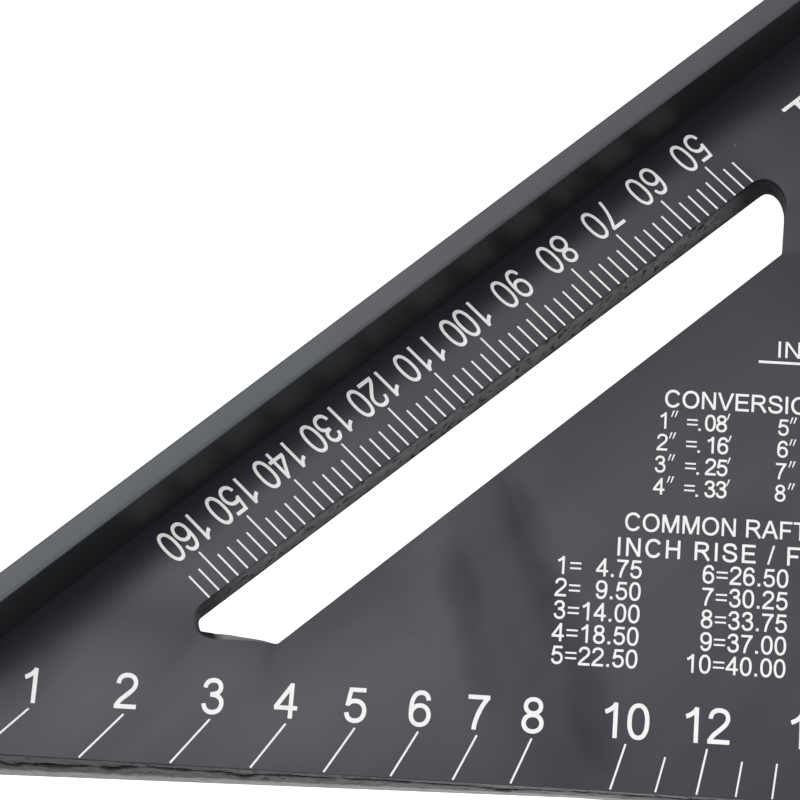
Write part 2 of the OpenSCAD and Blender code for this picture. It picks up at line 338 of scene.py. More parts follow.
# painted shade: the fence's faces other than its top get a darker copy of the blade's coating
M_FENCE_SHADED = coating("fence_coating", base=(0.0040, 0.0038, 0.0048), rough=0.46, spec=0.41)
M_TOP = coating("fence_top_coating", base=(0.050, 0.047, 0.053), rough=0.40,
                # painted sheen: the fence top's painted_sheen_x and cross stops stand in for the light's fall-off too
                painted_sheen_x=((20, 0.56), (60, 0.70), (110, 0.96), (190, 1.04)), cross=((-4.7, 1.22), (-3.6, 1.06), (-1.2, 0.93)))
# sawn edge: its lighter lower band is painted bounce light; slot walls: darker towards the bottom
M_CUT = worked_edge("sawn_edge", (0.0105, 0.0110, 0.0125), (0.140, 0.137, 0.137), 13.35, 14.00, 0.42, 0.25, 0.24)
M_SLOT = worked_edge("milled_slot_edge", (0.050, 0.050, 0.052), (0.012, 0.012, 0.013), 11.9, 16.2, 0.55, 0.12)
# broken edge: lighter rubbed coating, with painted shade where painted_shade is set
M_EDGE = coating("rubbed_edge_coating", base=(0.150, 0.147, 0.149), rough=0.42, painted_edge_shade=True)
M_INK = print_ink("white_print", (0.74, 0.725, 0.715))


# ---------------------------------------------------------------- mesh helpers
def make_obj(name, bm, mats, smooth_angle=35.0):
    me = bpy.data.meshes.new(name)
    bm.to_mesh(me)
    bm.free()
    for mt in mats:
        me.materials.append(mt)
    if smooth_angle is not None:
        for poly in me.polygons:
            poly.use_smooth = True
        me.set_sharp_from_angle(angle=math.radians(smooth_angle))
    ob = bpy.data.objects.new(name, me)
    bpy.context.scene.collection.objects.link(ob)
    return ob


def fnoise(x, y, z, octaves=4, gain=0.5):
    s, a, f = 0.0, 1.0, 1.0
    for _ in range(octaves):
        s += a * noise.noise(Vector((x * f, y * f, z * f)))
        a *= gain
        f *= 2.03
    return s


def loop_points(corners, step):
    """Closed loop through the corners: (x, y, edge index, distance along that edge, edge length)."""
    pts = []
    n = len(corners)
    for i in range(n):
        (x0, y0), (x1, y1) = corners[i], corners[(i + 1) % n]
        L = math.hypot(x1 - x0, y1 - y0)
        k = max(1, int(round(L / step)))
        for j in range(k):
            t = j / k
            pts.append((x0 + (x1 - x0) * t, y0 + (y1 - y0) * t, i, L * t, L))
    return pts


def loop_normals(pts):
    """Outward mitre normals of a counter-clockwise loop."""
    out = []
    n = len(pts)
    for i in range(n):
        a, b, c = pts[i - 1], pts[i], pts[(i + 1) % n]
        d1 = Vector((b[0] - a[0], b[1] - a[1])).normalized()
        d2 = Vector((c[0] - b[0], c[1] - b[1])).normalized()
        n1, n2 = Vector((d1.y, -d1.x)), Vector((d2.y, -d2.x))
        s = n1 + n2
        out.append(s / max(0.25, (s.dot(n1))))
    return out


# ---------------------------------------------------------------- blade
TIP = 1.6
OUTER = [(0.0, FY1), (LEG + GAP, FY1), (TIP, LEG - TIP), (0.0, LEG - TIP)]
SY0, SY1, SX0, SX1, SR = 15.2, 28.5, 51.7, 161.2, 3.6


def curve(pts, n):
    """Smooth curve through the points, n + 1 samples."""
    out = []
    m_ = len(pts) - 1
    for i in range(n + 1):
        t = m_ * i / n
        k = min(m_ - 1, int(t))
        t -= k
        p0, p1, p2, p3 = pts[max(0, k - 1)], pts[k], pts[k + 1], pts[min(m_, k + 2)]
        out.append(tuple(0.5 * (2 * b + (c - a) * t + (2 * a - 5 * b + 4 * c - d) * t * t + (3 * b - a - 3 * c + d) * t ** 3)
                         for a, b, c, d in zip(p0, p1, p2, p3)))
    return out


# the worked corners of the slot, on the front face and on the back one
LOW_TOP = [(47.6, 15.2), (46.2, 15.24), (45.1, 15.45), (44.35, 15.85), (43.75, 16.5), (43.45, 17.4), (43.37, 18.3), (43.45, 19.2), (43.72, 20.15), (44.25, 21.15), (45.0, 22.0), (46.3, 23.1)]
LOW_BACK = [(47.6, 15.73), (45.6, 15.74), (44.4, 15.76), (43.6, 15.88), (43.05, 16.25), (42.7, 16.9), (42.62, 17.7), (42.72, 18.55), (43.0, 19.35), (43.5, 20.3), (44.3, 21.4), (46.0, 23.1)]
HIGH_TOP = [(165.33 + 3.8 * math.cos(math.radians(45 - 135 * i / 11)), 19.0 + 3.8 * math.sin(math.radians(45 - 135 * i / 11))) for i in range(12)]
HIGH_BACK = [(168.02, 21.69), (168.45, 20.6), (168.5, 19.6), (168.2, 18.6), (167.7, 17.6), (167.2, 16.73), (167.02, 16.2), (166.75, 15.65), (166.45, 15.2), (166.1, 14.88), (165.7, 14.75), (165.33, 14.72)]


def slot_loops():
    """The slot's outline on the front and on the back face, point for point, clockwise."""
    far = []
    for (cx, cy), (ax, ay), (bx, by) in (((SX0 + 0.28, SY1), (SX0 - 0.22, SY1 - 0.46), (SX0 + 0.78, SY1)), ((SX1, SY1), (SX1 - 0.5, SY1), (SX1 + 0.5, SY1 - 0.5))):
        for q in range(5):
            t = q / 4
            far.append(((1 - t) ** 2 * (cx + (ax - cx) * 0.7) + 2 * t * (1 - t) * cx + t * t * (cx + (bx - cx) * 0.7),
                        (1 - t) ** 2 * (cy + (ay - cy) * 0.7) + 2 * t * (1 - t) * cy + t * t * (cy + (by - cy) * 0.7)))
    top = curve(LOW_TOP, 30) + far + curve(HIGH_TOP, 30)
    back = curve(LOW_BACK, 30) + [(x - 0.35 if x < 100 else x, y) for x, y in far] + curve(HIGH_BACK, 30)
    a = loop_points(top, 0.3)
    b = []
    for x, y, e, d, L in a:                    # the same share of the same edge
        (x0, y0), (x1, y1) = back[e], back[(e + 1) % len(back)]
        t = d / L
        b.append((x0 + (x1 - x0) * t, y0 + (y1 - y0) * t))
    return a, b


# places where the coating tore wider or less along the sawn edge:
# middle and half length along the edge, shift in height, extra half width, extra depth and darkness (the darkness is
# painted shade)
TEARS = (
    (24.0, 1.6, -0.90, 0.00, -0.15),
    (28.3, 2.4, -0.25, 0.10, 0.35),
    (32.0, 1.6, -0.45, 0.14, 0.35),
    (37.2, 1.0, 0.00, -0.04, -0.55),
    (39.3, 1.7, -0.75, 0.14, 0.35),
    (45.6, 2.6, 0.35, -0.05, -0.15),
    (60.3, 1.8, -1.05, 0.14, 0.35),
    (74.2, 0.9, 0.00, -0.04, -0.30),
    (81.5, 3.2, 0.20, 0.06, 0.20),
    (97.2, 1.0, -0.20, -0.03, -0.30),
    (100.6, 2.0, -1.15, 0.34, 0.45),
)
# scars on the sawn edge, dented and painted dark as shade: middle along the edge, height, half length, half height,
# strength
SCARS = ((41.2, -3.98, 0.9, 0.2, 0.45), (42.1, -4.08, 0.7, 0.22, 0.45), (54.0, -4.4, 0.8, 0.15, 0.3))


def blade():
    bm = bmesh.new()
    # painted_shade: per-vertex darkening painted in as shade in the crack, scars, pits, under the edges and toward the
    # slot's ends
    lay = bm.verts.layers.float.new("painted_shade")
    outer = loop_points(OUTER, 0.3)
    slot, slot_back = slot_loops()
    rows = [-T, -T + 0.03, -T + 0.09, -T + 0.2, -T + 0.45] + [-T + 0.64 + 0.16 * i for i in range(30)] + [-0.42, -0.33, -0.25, -0.18, -0.11, -0.05, -0.02, 0.0]
    rows = sorted(set(round(z, 4) for z in rows))

    def bevel(z, d):
        """Inset of a rounded edge of size d at height z."""
        e = min(-z, z + T)
        if e >= d:
            return 0.0
        return d - math.sqrt(max(0.0, d * d - (d - e) ** 2))

    rings = {"outer": [], "slot": []}
    for kind, pts in (("outer", outer), ("slot", slot)):
        nrm = loop_normals(pts)
        run = 0.0
        for i, (x, y, e, s, L) in enumerate(pts):
            col = []
            run = s if kind == "outer" else run + 0.3
            if kind == "outer" and e == 1:
                # where the saw tore the coating: a wandering crack with wide and narrow stretches, cut in and painted
                # near black through painted_shade as shade in the crack
                zc = -1.48 - 0.55 * math.exp(-((s - 29) / 9.0) ** 2) - 0.30 * min(1.0, max(0.0, (s - 86) / 12.0))
                zc += 0.20 * fnoise(s * 0.30, 3.1, 0.0, 3) + 0.13 * fnoise(s * 1.1, 1.7, 0.0, 2)
                open_ = fnoise(s * 0.35, 9.0, 0.0, 3) + 0.4 * fnoise(s * 1.4, 4.0, 0.0, 2)
                width = 0.24 + 0.10 * max(-1.0, min(1.0, open_ * 1.6))
                amount = 0.68 + 0.5 * open_
                for ts, tl, tz, tw, ta in TEARS:
                    k = math.exp(-((s - ts) / tl) ** 2)
                    zc += tz * k
                    width += tw * k
                    amount += ta * k
                width, amount = max(0.08, width), max(0.1, min(1.0, amount))
                # the cut leans outwards near the fence and inwards further along, then comes back square
                lean = 0.78 - 0.0224 * (s - 24.0) if s > 10 else 1.094 * s / 10.0
                lean = max(-1.25, lean) * (1.0 - min(1.0, max(0.0, (s - 112.0) / 70.0)) ** 0.8)
            for z in rows:
                ins = bevel(z, 0.10 if kind == "outer" else 0.14)
                rim = min(1.0, min(-z, z + T) / 0.45)
                rim = rim * rim * (3 - 2 * rim)
                g = 0.0
                if kind == "outer" and e == 1:
                    fade = min(1.0, s / 3.0, (L - s) / 3.0)
                    g = min(1.0, 1.7 * amount * math.exp(-((z - zc) / width) ** 2)) * min(1.0, 0.35 + amount)
                    for cs, cz_, cw, ch, ca in SCARS:
                        g = max(g, ca * math.exp(-((s - cs) / cw) ** 2 - ((z - cz_) / ch) ** 2))
                    out_ = lean * min(1.0, -z / T)
                    wave = 0.045 * fnoise(s * 0.5, z * 1.2, 5.0, 4) + 0.03 * fnoise(s * 2.4, z * 2.6, 8.0, 2)
                    lip = 0.06 * math.exp(-((z - zc - 0.35 - width) / 0.2) ** 2)
                    chip = 0.10 * max(0.0, fnoise(s * 0.8, 30.0, 0.0, 4) - 0.25) if z > -0.6 else 0.0
                    ins += fade * (0.42 * g + (max(-0.04, wave) - lip) * (0.15 + 0.85 * rim) + chip + 0.05)
                    ins = max(0.0, ins) - out_
                    # painted shade: a dark band just under the top edge
                    g = max(g, (0.62 + 0.25 * fnoise(s * 0.4, 21.0, 0.0, 3)) * math.exp(-((z + 0.10) / 0.20) ** 2))
                elif kind == "outer" and e != 0:
                    fade = min(1.0, s / 4.0, (L - s) / 4.0)
                    ins += fade * (0.010 + 0.010 * fnoise(s * 0.4, z, 12.0 + e, 3))
                elif kind == "slot":
                    # painted shade on the slot walls: a line under the top edge, a line near the bottom and the pits
                    g = math.exp(-((z + 0.42 + 0.12 * fnoise(run * 0.3, 2.0, 0.0, 2)) / 0.16) ** 2) * max(0.25, 0.75 + 0.9 * fnoise(run * 0.5, 2.0, 0.0, 3))
                    low = math.exp(-((z + 5.3) / 0.5) ** 2) * max(0.0, 0.4 + 1.2 * fnoise(run * 0.25, 7.0, 0.0, 3))
                    pit = fnoise(run * 0.75, z * 0.9, 40.0, 3)
                    pit = max(0.0, pit - 0.28) * 1.6
                    ins += 0.12 * g + rim * (0.05 * abs(fnoise(run * 0.35, z * 0.9, 50.0, 4)) + 0.22 * min(1.0, pit))
                    # painted shade: darker toward both ends of the slot
                    corner = max(0.0, 1.0 - min(abs(x - 44.8) / 9.6, abs(x - 168.3) / 16.0))
                    g = max(g, low, min(1.0, pit * 2.2), min(0.9, corner * 1.3))
                q = nrm[i]
                if kind == "slot":
                    t = -z / T
                    sx, sy = x + (slot_back[i][0] - x) * t, y + (slot_back[i][1] - y) * t
                    if x > SX1 and y > 18.4:
                        # broken edge of the far end wall
                        c_ = float(np.interp(y, (18.4, 18.9, 19.4, 20.0, 20.8, 21.4, 22.0, 23.2, 24.3, 26.8, 28.3), (0.0, 0.35, 0.65, 0.9, 1.1, 1.12, 1.14, 1.05, 0.86, 0.50, 0.0)))
                        k_ = float(np.interp(y, (18.4, 20.0, 21.4, 23.2, 24.3, 26.0, 28.3), (0.10, 0.15, 0.25, 0.34, 0.42, 0.58, 0.70)))
                        f_ = k_ + (1.0 - k_) * min(1.0, -z / 0.18) if z > -0.18 else max(0.0, 1.0 - (-z - 0.18) / 1.6)
                        ins -= (c_ * 1.08) * f_
                        # painted shade on the broken edge: darkest at the top row and toward the slot's side wall,
                        # below y 22.6
                        if z > -0.5:
                            g = min(1.0, 0.25 * max(0.0, 1.0 + z / 0.12) + min(1.0, max(0.0, (22.6 - y) / 1.6)))
                else:
                    sx, sy = x, y
                v = bm.verts.new(row(sx - q.x * ins, sy - q.y * ins, z))
                v[lay] = max(0.0, min(1.0, g))
                col.append(v)
            rings[kind].append(col)
    mats = {"outer": 1, "slot": 2}
    for kind, ring in rings.items():
        pts = outer if kind == "outer" else slot
        n = len(ring)
        for i in range(n):
            a, b = ring[i], ring[(i + 1) % n]
            e = pts[i][2]
            for j in range(len(rows) - 1):
                f = bm.faces.new((a[j], b[j], b[j + 1], a[j + 1]))
                rim = rows[j] > (-0.03 if kind == "outer" else -0.12) or rows[j + 1] < -T + 0.1
                broken = kind == "slot" and pts[i][0] > SX1 and 18.4 < pts[i][1] < 28.3 and rows[j] > -0.19
                f.material_index = 3 if broken else 0 if (kind == "outer" and e != 1) or rim else mats[kind]
    for j in (len(rows) - 1, 0):
        edges = []
        for ring in rings.values():
            n = len(ring)
            for i in range(n):
                edges.append(bm.edges.get((ring[i][j], ring[(i + 1) % n][j])))
        res = bmesh.ops.triangle_fill(bm, edges=edges, use_beauty=True, use_dissolve=False)
        for f in res["geom"]:
            if isinstance(f, bmesh.types.BMFace):
                f.material_index = 0
    bmesh.ops.recalc_face_normals(bm, faces=bm.faces)
    return make_obj("blade_body", bm, [M_BLADE, M_CUT, M_SLOT, M_EDGE], 30)


# ---------------------------------------------------------------- fence
def fence():
    """T bar: an extruded rounded section with a slightly uneven run and softened ends."""
    bm = bmesh.new()
    r = 0.5
    z1, z0 = FH, -T - FH
    sec = []                                   # (y, z, part) counter-clockwise seen from +x
    def arc(cy, cz, a0, a1, rr, part, k=7):
        for i in range(k):
            a = math.radians(a0 + (a1 - a0) * i / (k - 1))
            sec.append((cy + rr * math.cos(a), cz + rr * math.sin(a), part))
    def face(y0, za, y1, zb, k, part):
        for i in range(1, k):
            t = i / k
            sec.append((y0 + (y1 - y0) * t, za + (zb - za) * t, part))
    fr = 0.02
    arc(FY1 - r, z0 + r, -90, 0, r, 0)
    face(FY1, z0 + r, FY1, -T - fr, 6, 0)
    for i in range(6):                          # lower root fillet
        a = math.radians(180 - 90 * i / 5)
        sec.append((FY1 + fr + fr * math.cos(a), -T - fr + fr * math.sin(a), 0))
    for i in range(6):                          # upper root fillet
        a = math.radians(270 - 90 * i / 5)
        sec.append((FY1 + fr + fr * math.cos(a), fr + fr * math.sin(a), 0))
    face(FY1, fr, FY1, z1 - r, 6, 0)
    arc(FY1 - r, z1 - r, 0, 90, r, 1)
    face(FY1 - r, z1, FY0 + r, z1, 4, 1)
    arc(FY0 + r, z1 - r, 90, 180, r, 1)
    face(FY0, z1 - r, FY0, z0 + r, 10, 0)
    arc(FY0 + r, z0 + r, 180, 270, r, 0)
    face(FY0 + r, z0, FY1 - r, z0, 4, 0)
    n = len(sec)
    xs = [0.0, 0.05, 0.16, 0.35] + [0.35 + (FL - 0.7) * i / 220 for i in range(1, 220)] + [FL - 0.35, FL - 0.16, FL - 0.05, FL]
    rings = []
    cy, cz = (FY0 + FY1) / 2, (z0 + z1) / 2
    for x in xs:
        e = min(x, FL - x)
        ins = 0.0 if e >= 0.35 else 0.35 - math.sqrt(max(0.0, 0.35 ** 2 - (0.35 - e) ** 2))
        ring = []
        for (y, z, part) in sec:
            yy, zz = y, z
            if not (-T - fr * 1.01 <= z <= fr * 1.01 and y > FY1 - 0.01):
                # pull the end in a little all round, and let the top edges wander
                yy += (ins if y < cy else -ins) * (1 if abs(y - cy) > 1.2 else 0)
                zz += (ins if z < cz else -ins) * (1 if abs(z - cz) > 12 else 0)
                if z > z1 - 0.6 and e > 1:
                    wob = 0.02 * fnoise(x * 0.08, y * 0.5, 3.0, 3)
                    nick = 0.05 * max(0.0, fnoise(x * 0.35, 60.0 + (1 if y > cy else 0), 0.0, 3) - 0.55)
                    zz -= 0.03 + abs(wob) + nick * (1 if abs(y - cy) > 1.3 else 0)
            ring.append(bm.verts.new(row(x, yy, zz)))
        rings.append(ring)
    for a, b in zip(rings, rings[1:]):
        for i in range(n):
            j = (i + 1) % n
            f = bm.faces.new((a[i], a[j], b[j], b[i]))
            top = sec[i][2] == 1 and sec[j][2] == 1
            f.material_index = 1 if top else 0
    bm.faces.new(rings[0])
    bm.faces.new(rings[-1])
    bmesh.ops.recalc_face_normals(bm, faces=bm.faces)
    return make_obj("fence_bar", bm, [M_FENCE_SHADED, M_TOP], 40)


# ---------------------------------------------------------------- lettering
# Plain sans figures drawn as strokes on a cap height of 1; each glyph is an advance width
# and a list of filled outlines, joined by taking the union on a fine grid.
def bez(p0, *segs, k=14):
    pts = [p0]
    for sg in segs:
        if len(sg) == 2 and isinstance(sg[0], (int, float)):
            pts.append(sg)
            continue
        a, (b, c, d) = pts[-1], sg
        for i in range(1, k + 1):
            t = i / k
            u = 1 - t
            pts.append((u ** 3 * a[0] + 3 * u * u * t * b[0] + 3 * u * t * t * c[0] + t ** 3 * d[0],
                        u ** 3 * a[1] + 3 * u * u * t * b[1] + 3 * u * t * t * c[1] + t ** 3 * d[1]))
    return pts


def ribbon(pts, w):
    """Outline of a stroke of width w along an open path, with square ends."""
    n = len(pts)
    L, Rr = [], []
    for i in range(n):
        a, c = pts[max(0, i - 1)], pts[min(n - 1, i + 1)]
        d = math.hypot(c[0] - a[0], c[1] - a[1]) or 1e-9
        nx, ny = -(c[1] - a[1]) / d, (c[0] - a[0]) / d
        L.append((pts[i][0] + nx * w / 2, pts[i][1] + ny * w / 2))
        Rr.append((pts[i][0] - nx * w / 2, pts[i][1] - ny * w / 2))
    return L + Rr[::-1]


def oval(cx, cy, rx, ry, w, wv=None, n=2.25, k=72):
    """Closed ring: outer radii rx, ry, stroke w at the sides and wv at top and bottom."""
    wv = wv or w
    def loop(ax, ay, ex):
        out = []
        for i in range(k):
            a = 2 * math.pi * i / k
            c, s = math.cos(a), math.sin(a)
            out.append((cx + ax * math.copysign(abs(c) ** (2 / ex), c), cy + ay * math.copysign(abs(s) ** (2 / ex), s)))
        return out
    return [loop(rx, ry, n), loop(rx - w, ry - wv, n)]


def box(x0, y0, x1, y1):
    return [(x0, y0), (x1, y0), (x1, y1), (x0, y1)]


W = 0.122      # stroke of the figures
WL = 0.130     # stroke of the capitals
h = W / 2


def glyph_table():
    g = {}
    g["0"] = (0.777, [oval(0.387, 0.5, 0.329, 0.517, W * 1.03, W * 0.94, 2.3)])
    g["1"] = (0.777, [[box(0.398, 0, 0.521, 1.0)], [ribbon(bez((0.47, 0.985), ((0.40, 0.86), (0.28, 0.775), (0.150, 0.735))), W * 0.97)]])
    g["2"] = (0.777, [[ribbon(bez((0.120, 0.715), ((0.128, 0.885), (0.235, 0.960), (0.384, 0.960)), ((0.54, 0.960), (0.642, 0.870), (0.642, 0.735)),
                                  ((0.642, 0.600), (0.54, 0.510), (0.375, 0.375)), ((0.235, 0.262), (0.150, 0.185), (0.108, 0.075))), W)],
                      [box(0.045, 0, 0.703, 0.118)]])
    g["3"] = (0.777, [[ribbon(bez((0.128, 0.742), ((0.150, 0.885), (0.245, 0.960), (0.378, 0.960)), ((0.510, 0.960), (0.602, 0.880), (0.602, 0.763)),
                                  ((0.602, 0.640), (0.510, 0.552), (0.300, 0.552))), W)],
                      [ribbon(bez((0.300, 0.552), ((0.53, 0.552), (0.655, 0.450), (0.655, 0.300)), ((0.655, 0.145), (0.540, 0.042), (0.380, 0.042)),
                                  ((0.235, 0.042), (0.140, 0.125), (0.120, 0.278))), W)]])
    g["4"] = (0.777, [[box(0.452, 0, 0.575, 1.0)], [box(0.018, 0.240, 0.712, 0.352)],
                      [[(0.018, 0.240), (0.018, 0.352), (0.475, 1.0), (0.575, 1.0), (0.575, 0.93), (0.150, 0.330), (0.150, 0.240)]]])
    g["5"] = (0.777, [[box(0.180, 0.870, 0.675, 0.985)], [[(0.176, 0.985), (0.080, 0.475), (0.196, 0.460), (0.285, 0.930), (0.285, 0.985)]],
                      [ribbon(bez((0.140, 0.490), ((0.215, 0.600), (0.290, 0.608), (0.385, 0.608)), ((0.545, 0.608), (0.657, 0.495), (0.657, 0.330)),
                                  ((0.657, 0.160), (0.540, 0.042), (0.380, 0.042)), ((0.235, 0.042), (0.140, 0.120), (0.122, 0.268))), W)]])
    g["6"] = (0.777, [oval(0.385, 0.316, 0.328, 0.333, W * 1.02, W * 0.94, 2.1),
                      [ribbon(bez((0.630, 0.750), ((0.610, 0.885), (0.530, 0.960), (0.412, 0.960)), ((0.215, 0.960), (0.115, 0.790), (0.115, 0.455)),
                                  ((0.115, 0.400), (0.115, 0.360), (0.119, 0.300))), W)]])
    g["7"] = (0.777, [[box(0.066, 0.870, 0.714, 0.985)],
                      [ribbon(bez((0.664, 0.925), ((0.470, 0.700), (0.300, 0.350), (0.270, 0.0))), W * 1.02)],
                      [[(0.60, 0.87), (0.714, 0.985), (0.714, 0.893), (0.66, 0.83)]]])
    g["8"] = (0.777, [oval(0.387, 0.760, 0.290, 0.257, W, W * 0.92, 2.1), oval(0.387, 0.276, 0.330, 0.293, W * 1.02, W * 0.94, 2.1)])
    six = g["6"][1]
    g["9"] = (0.777, [[[(0.774 - x, 1.0 - y) for x, y in lp] for lp in shape] for shape in six])
    g["="] = (0.816, [[box(0.085, 0.594, 0.733, 0.690)], [box(0.085, 0.302, 0.733, 0.398)]])
    g["."] = (0.388, [[box(0.122, 0, 0.266, 0.140)]])
    g["/"] = (0.388, [[[(0.0, -0.017), (0.092, -0.017), (0.388, 1.017), (0.296, 1.017)]]])
    g["'"] = (0.30, [[[(0.02, 0.755), (0.082, 0.755), (0.225, 1.150), (0.130, 1.150)]]])
    g['"'] = (0.50, [[[(0.02, 0.755), (0.082, 0.755), (0.225, 1.150), (0.130, 1.150)]], [[(0.225, 0.755), (0.287, 0.755), (0.430, 1.150), (0.335, 1.150)]]])
    g["-"] = (0.465, [[box(0.045, 0.30, 0.42, 0.42)]])
    g[" "] = (0.388, [])
    V = WL
    g["I"] = (0.388, [[box(0.130, 0, 0.130 + V, 1.0)]])
    g["L"] = (0.777, [[box(0.102, 0, 0.102 + V, 1.0)], [box(0.102, 0, 0.728, 0.117)]])
    g["T"] = (0.853, [[box(0.032, 0.883, 0.820, 1.0)], [box(0.426 - V / 2, 0, 0.426 + V / 2, 1.0)]])
    g["H"] = (1.008, [[box(0.110, 0, 0.110 + V, 1.0)], [box(0.770, 0, 0.770 + V, 1.0)], [box(0.110, 0.468, 0.90, 0.585)]])
    g["E"] = (0.931, [[box(0.110, 0, 0.110 + V, 1.0)], [box(0.110, 0.883, 0.853, 1.0)], [box(0.110, 0.455, 0.805, 0.572)], [box(0.110, 0, 0.875, 0.117)]])
    g["F"] = (0.853, [[box(0.112, 0, 0.112 + V, 1.0)], [box(0.112, 0.883, 0.797, 1.0)], [box(0.112, 0.430, 0.710, 0.547)]])
    g["N"] = (1.008, [[box(0.106, 0, 0.106 + V * 0.95, 1.0)], [box(0.772, 0, 0.772 + V * 0.95, 1.0)], [[(0.106, 1.0), (0.250, 1.0), (0.894, 0.0), (0.752, 0.0)]]])
    g["M"] = (1.163, [[box(0.104, 0, 0.104 + V * 0.93, 1.0)], [box(0.938, 0, 0.938 + V * 0.93, 1.0)],
                      [[(0.104, 1.0), (0.290, 1.0), (0.585, 0.165), (0.640, 0.0), (0.520, 0.0)]], [[(1.058, 1.0), (0.880, 1.0), (0.585, 0.165), (0.520, 0.0), (0.640, 0.0)]]])
    g["V"] = (0.931, [[[(0.006, 1.0), (0.148, 1.0), (0.470, 0.125), (0.534, 0.0), (0.398, 0.0)]], [[(0.926, 1.0), (0.788, 1.0), (0.462, 0.125), (0.398, 0.0), (0.534, 0.0)]]])
    g["A"] = (0.931, [[[(-0.002, 0.0), (0.142, 0.0), (0.470, 0.875), (0.539, 1.0), (0.389, 1.0)]], [[(0.935, 0.0), (0.783, 0.0), (0.458, 0.875), (0.389, 1.0), (0.539, 1.0)]],
                      [box(0.20, 0.300, 0.74, 0.412)]])
    g["O"] = (1.086, [oval(0.545, 0.5, 0.478, 0.517, V * 1.03, V * 0.93, 2.12)])
    g["C"] = (1.008, [[ribbon([(0.520 + 0.388 * math.copysign(abs(math.cos(a)) ** (2 / 2.12), math.cos(a)), 0.5 + 0.456 * math.copysign(abs(math.sin(a)) ** (2 / 2.12), math.sin(a)))
                                for a in [math.radians(33 + (327 - 33) * i / 60) for i in range(61)]], V)]])
    g["G"] = (1.086, [[ribbon([(0.545 + 0.415 * math.copysign(abs(math.cos(a)) ** (2 / 2.12), math.cos(a)), 0.5 + 0.456 * math.copysign(abs(math.sin(a)) ** (2 / 2.12), math.sin(a)))
                                for a in [math.radians(36 + (318 - 36) * i / 60) for i in range(61)]], V)],
                      [box(0.575, 0.395, 0.985, 0.510)], [box(0.865, 0.14, 0.985, 0.510)]])
    bowl = bez((0.11, 0.942), (0.535, 0.942), ((0.72, 0.942), (0.822, 0.870), (0.822, 0.725)), ((0.822, 0.580), (0.720, 0.507), (0.535, 0.507)), (0.11, 0.507))
    g["P"] = (0.931, [[box(0.108, 0, 0.108 + V, 1.0)], [ribbon(bez((0.11, 0.942), (0.500, 0.942), ((0.680, 0.942), (0.790, 0.865), (0.790, 0.705)), ((0.790, 0.540), (0.680, 0.465), (0.500, 0.465)), (0.11, 0.465)), 0.120)]])
    g["R"] = (1.008, [[box(0.110, 0, 0.110 + V, 1.0)], [ribbon(bowl, 0.120)], [ribbon(bez((0.43, 0.500), ((0.58, 0.48), (0.640, 0.400), (0.725, 0.270)), (0.905, 0.0)), V)]])
    g["D"] = (1.008, [[box(0.108, 0, 0.108 + V, 1.0)], [ribbon(bez((0.11, 0.942), (0.440, 0.942), ((0.740, 0.942), (0.872, 0.780), (0.872, 0.502)), ((0.872, 0.220), (0.740, 0.058), (0.440, 0.058)), (0.11, 0.058)), 0.124)]])
    g["U"] = (1.008, [[ribbon(bez((0.173, 1.0), (0.173, 0.430), ((0.173, 0.150), (0.270, 0.042), (0.505, 0.042)), ((0.740, 0.042), (0.838, 0.150), (0.838, 0.430)), (0.838, 1.0)), V)]])
    g["S"] = (0.931, [[ribbon(bez((0.778, 0.705), ((0.765, 0.880), (0.660, 0.957), (0.462, 0.957)), ((0.270, 0.957), (0.155, 0.870), (0.155, 0.745)),
                                  ((0.155, 0.600), (0.300, 0.560), (0.480, 0.520)), ((0.680, 0.475), (0.810, 0.425), (0.810, 0.275)),
                                  ((0.810, 0.130), (0.680, 0.042), (0.480, 0.042)), ((0.250, 0.042), (0.135, 0.130), (0.122, 0.325))), V * 0.96)]])
    return g


GLYPHS = glyph_table()


def sd_loops(px, py, loops):
    """Signed distance to filled loops (even-odd), negative inside."""
    d2 = np.full(px.shape, 1e9)
    inside = np.zeros(px.shape, bool)
    for lp in loops:
        a = np.array(lp)
        b = np.roll(a, -1, axis=0)
        for (ax, ay), (bx, by) in zip(a, b):
            ex, ey = bx - ax, by - ay
            L = ex * ex + ey * ey
            if L < 1e-12:
                continue
            wx, wy = px - ax, py - ay
            t = np.clip((wx * ex + wy * ey) / L, 0, 1)
            d2 = np.minimum(d2, (wx - ex * t) ** 2 + (wy - ey * t) ** 2)
            if ay != by:
                cross = ((ay > py) != (by > py)) & (px < ex * (py - ay) / ey + ax)
                inside ^= cross
    d = np.sqrt(d2)
    return np.where(inside, -d, d)


